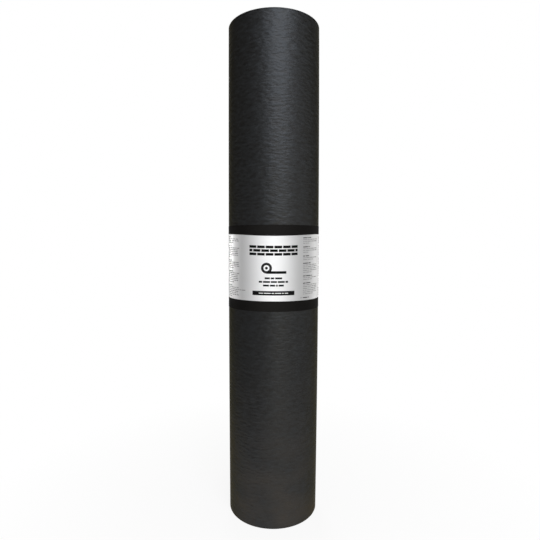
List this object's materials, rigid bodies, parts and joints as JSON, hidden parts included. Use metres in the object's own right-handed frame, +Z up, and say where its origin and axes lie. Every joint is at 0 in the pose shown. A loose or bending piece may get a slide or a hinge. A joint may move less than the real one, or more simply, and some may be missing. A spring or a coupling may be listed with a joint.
{
  "type": "roll of roofing felt",
  "caption": "Standing roll of black asphalt-saturated roofing felt, wound in a spiral round an open bore and held closed by a wide paper label band.",
  "frame": {"origin": "on the floor, on the bore's axis, at the middle of the end that the roll stands on", "axes": "+Z up along the roll's axis; -Y to the front of the label, which faces the camera; +X to the right of it"},
  "size_m": [0.17, 0.1705, 0.9144],
  "materials": {
    "felt": "matte, asphalt-saturated, with fine streaks round the roll",
    "label_paper": "smooth printed paper, silver grey between two black borders"
  },
  "bodies": {
    "root": {"felt_roll": "felt", "label_band": "label_paper"}
  },
  "joints": []
}
